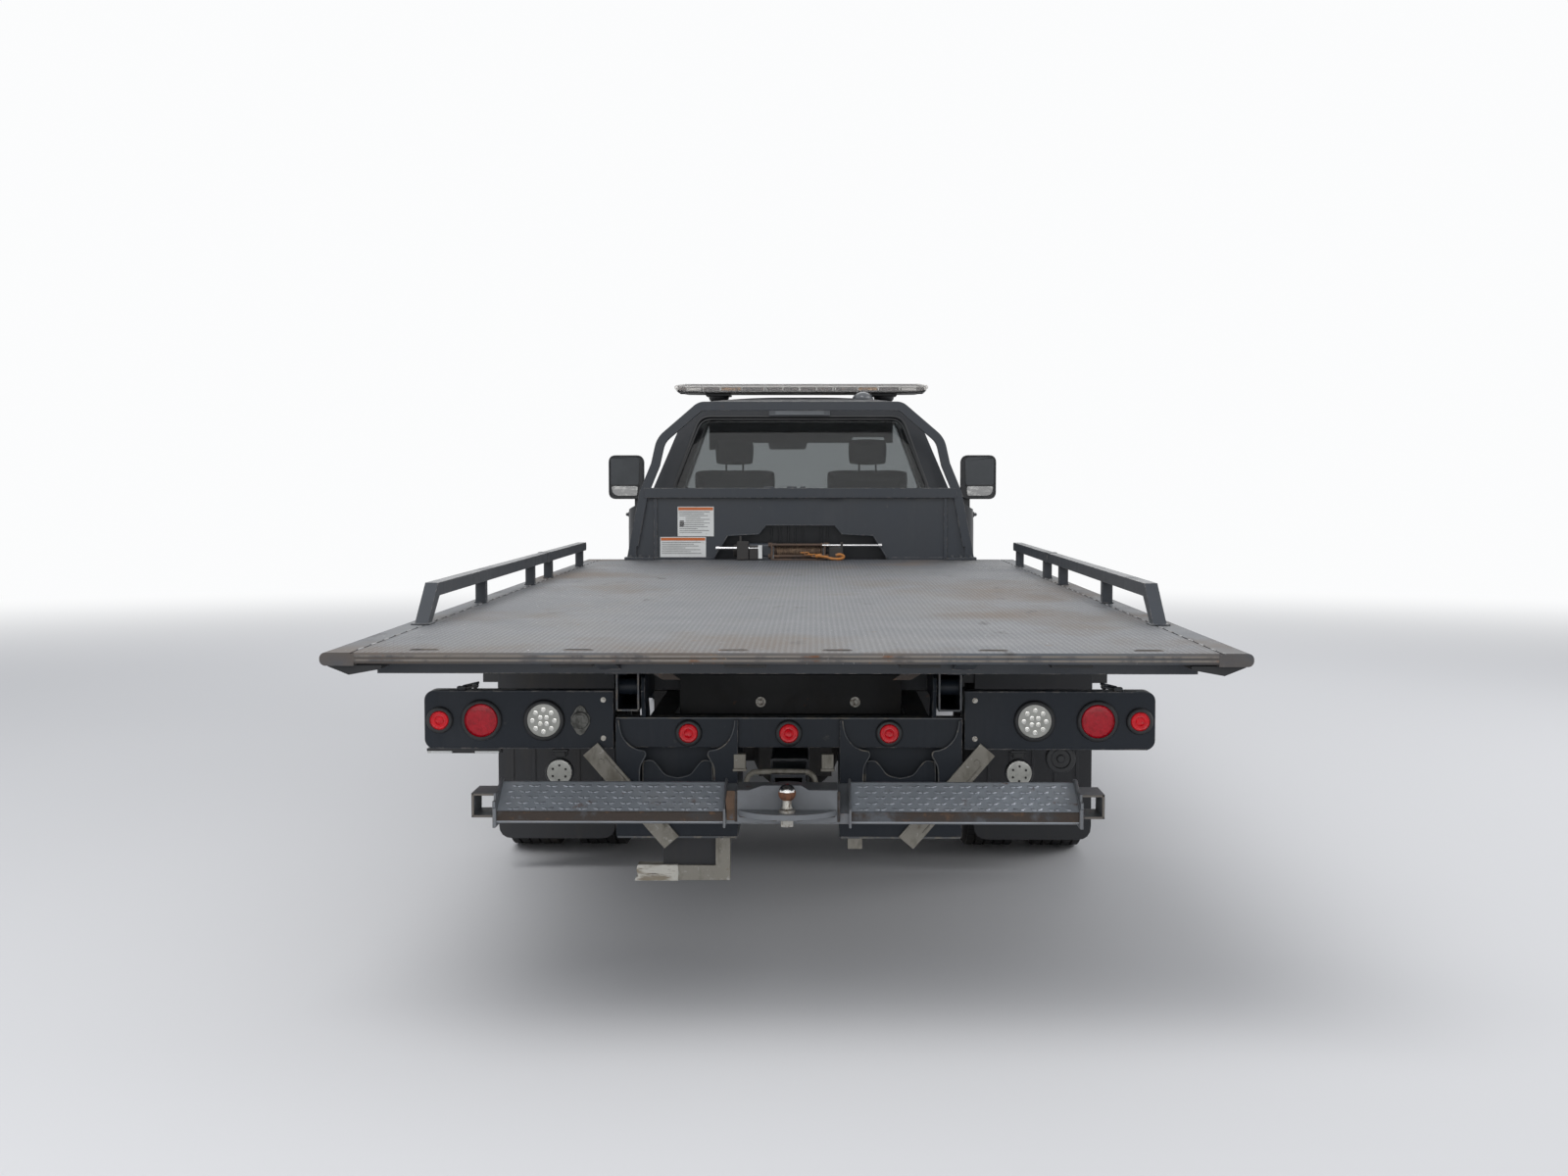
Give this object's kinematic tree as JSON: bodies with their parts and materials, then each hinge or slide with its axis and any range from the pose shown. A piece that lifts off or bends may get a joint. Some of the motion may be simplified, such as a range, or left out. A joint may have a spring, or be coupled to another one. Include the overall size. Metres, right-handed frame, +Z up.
{
  "type": "tow_truck",
  "caption": "Roll-back tow truck with a tilting, sliding flat deck, headboard winch, fold-out wheel lift with a rear step, roof light bar and a short-nosed cab",
  "frame": {"origin": "on the ground under the middle of the truck's length and width", "axes": "X to the truck's right, Y forward, Z up"},
  "size_m": [2.51, 9.17, 2.105],
  "materials": {
    "dark_steel": "satin dark blue-grey paint",
    "deck_steel": "worn grey paint with dust and rust",
    "cab_paint": "grey metallic paint",
    "black_steel": "black chassis paint",
    "galvanised": "zinc-coated steel",
    "machinery": "bare casting",
    "rust_drum": "rusty steel",
    "bright_rod": "polished",
    "wheel_metal": "machined and polished",
    "tyre_rubber": "dusty",
    "flap_rubber": "matt",
    "black_plastic": "textured",
    "cabin_trim": "grained",
    "seat_cloth": "woven",
    "window_glass": "clear, slightly dark",
    "lamp_red": "red lens",
    "lamp_clear": "clear lens"
  },
  "bodies": {
    "chassis": {"chassis_frame": "black_steel", "engine_block": "machinery", "drive_shaft": "machinery", "side_tanks": "wheel_metal", "toolboxes": "dark_steel", "rear_axle": "machinery", "leaf_springs": "black_steel", "front_axle": "machinery", "cab_shell": "cab_paint", "cab_glass": "window_glass", "front_fenders": "cab_paint", "front_panel": "cab_paint", "grille": "black_plastic", "headlamps": "lamp_clear", "front_bumper": "black_plastic", "seats": "seat_cloth", "dashboard": "cabin_trim", "light_bar": "lamp_clear", "tail_frame": "dark_steel", "lamp_panels": "dark_steel", "tail_lamps": "lamp_red", "clear_lamps": "lamp_clear", "tail_braces": "galvanised", "rear_fenders": "black_plastic", "mud_flaps": "flap_rubber"},
    "knuckle_l": {"knuckle_left": "machinery"},
    "knuckle_r": {"knuckle_right": "machinery"},
    "front_wheel_l": {"front_tyre_left": "tyre_rubber", "front_wheel_left": "wheel_metal"},
    "front_wheel_r": {"front_tyre_right": "tyre_rubber", "front_wheel_right": "wheel_metal"},
    "rear_wheels_l": {"rear_tyres_left": "tyre_rubber", "rear_wheels_left": "wheel_metal"},
    "rear_wheels_r": {"rear_tyres_right": "tyre_rubber", "rear_wheels_right": "wheel_metal"},
    "door_l": {"door_left": "cab_paint", "door_glass_left": "window_glass", "door_mirror_left": "black_plastic"},
    "door_r": {"door_right": "cab_paint", "door_glass_right": "window_glass", "door_mirror_right": "black_plastic"},
    "hood_lid": {"hood": "cab_paint"},
    "lid_l": {"toolbox_lid_left": "dark_steel"},
    "lid_r": {"toolbox_lid_right": "dark_steel"},
    "tilt": {"tilt_frame": "dark_steel", "slide_barrel": "black_steel"},
    "deck": {"deck_frame": "dark_steel", "deck_floor": "deck_steel", "side_rails": "dark_steel", "headboard": "dark_steel", "winch_frame": "dark_steel", "slide_rod": "bright_rod"},
    "winch": {"winch_drum": "rust_drum"},
    "tilt_barrel": {"tilt_barrels": "black_steel"},
    "tilt_rod": {"tilt_rods": "bright_rod"},
    "boom": {"lift_boom": "dark_steel"},
    "extension": {"lift_extension": "dark_steel"},
    "crossbar": {"lift_crossbar": "dark_steel", "step_treads": "dark_steel", "hitch_ball": "bright_rod"}
  },
  "joints": [
    {"name": "steer_left", "type": "hinge", "parent": "chassis", "child": "knuckle_l", "pos_m": [-0.8, 3.615, 0.4065], "axis": [0, 0, 1], "range_deg": [-32, 32]},
    {"name": "steer_right", "type": "hinge", "parent": "chassis", "child": "knuckle_r", "pos_m": [0.8, 3.615, 0.4065], "axis": [0, 0, 1], "range_deg": [-32, 32]},
    {"name": "front_wheel_left_spin", "type": "hinge", "parent": "knuckle_l", "child": "front_wheel_l", "pos_m": [-0.95, 3.615, 0.4065], "axis": [1, 0, 0], "continuous": true},
    {"name": "front_wheel_right_spin", "type": "hinge", "parent": "knuckle_r", "child": "front_wheel_r", "pos_m": [0.95, 3.615, 0.4065], "axis": [1, 0, 0], "continuous": true},
    {"name": "rear_wheels_left_spin", "type": "hinge", "parent": "chassis", "child": "rear_wheels_l", "pos_m": [-0.94, -1.585, 0.4065], "axis": [1, 0, 0], "continuous": true},
    {"name": "rear_wheels_right_spin", "type": "hinge", "parent": "chassis", "child": "rear_wheels_r", "pos_m": [0.94, -1.585, 0.4065], "axis": [1, 0, 0], "continuous": true},
    {"name": "door_left_hinge", "type": "hinge", "parent": "chassis", "child": "door_l", "pos_m": [-1.012, 2.918, 1], "axis": [0, 0, 1], "range_deg": [-65, 0]},
    {"name": "door_right_hinge", "type": "hinge", "parent": "chassis", "child": "door_r", "pos_m": [1.012, 2.918, 1], "axis": [0, 0, 1], "range_deg": [0, 65]},
    {"name": "hood_hinge", "type": "hinge", "parent": "chassis", "child": "hood_lid", "pos_m": [0, 3.263, 1.386], "axis": [1, 0, 0], "range_deg": [0, 50]},
    {"name": "toolbox_lid_left_hinge", "type": "hinge", "parent": "chassis", "child": "lid_l", "pos_m": [-1.15, -0.505, 0.5], "axis": [0, 1, 0], "range_deg": [-95, 0]},
    {"name": "toolbox_lid_right_hinge", "type": "hinge", "parent": "chassis", "child": "lid_r", "pos_m": [1.15, -0.505, 0.5], "axis": [0, 1, 0], "range_deg": [0, 95]},
    {"name": "tilt_pivot", "type": "hinge", "parent": "chassis", "child": "tilt", "pos_m": [0, -3.785, 0.9045], "axis": [1, 0, 0], "range_deg": [0, 12.8]},
    {"name": "deck_slide", "type": "slide", "parent": "tilt", "child": "deck", "axis": [0, -1, 0], "range_m": [0, 3.75]},
    {"name": "winch_spin", "type": "hinge", "parent": "deck", "child": "winch", "pos_m": [0, 1.155, 1.132], "axis": [1, 0, 0], "continuous": true},
    {"name": "tilt_barrel_pivot", "type": "hinge", "parent": "chassis", "child": "tilt_barrel", "pos_m": [0, -0.085, 0.48], "axis": [1, 0, 0], "range_deg": [-28.7, 0]},
    {"name": "tilt_rod_slide", "type": "slide", "parent": "tilt_barrel", "child": "tilt_rod", "axis": [0, -0.9143, 0.4049], "range_m": [0, 0.467]},
    {"name": "boom_tilt", "type": "hinge", "parent": "chassis", "child": "boom", "pos_m": [0, -2.535, 0.6], "axis": [1, 0, 0], "range_deg": [0, 8]},
    {"name": "boom_extend", "type": "slide", "parent": "boom", "child": "extension", "axis": [0, -1, 0], "range_m": [0, 0.6]},
    {"name": "crossbar_swivel", "type": "hinge", "parent": "extension", "child": "crossbar", "pos_m": [0, -3.945, 0.6], "axis": [0, 0, 1], "range_deg": [-10, 10]}
  ],
  "couplings": [
    {"joint": "steer_right", "follows": "steer_left", "ratio": 1},
    {"joint": "tilt_barrel_pivot", "follows": "tilt_pivot", "ratio": -2.2376},
    {"joint": "tilt_rod_slide", "follows": "tilt_pivot", "m_per_rad": 2.0859}
  ]
}
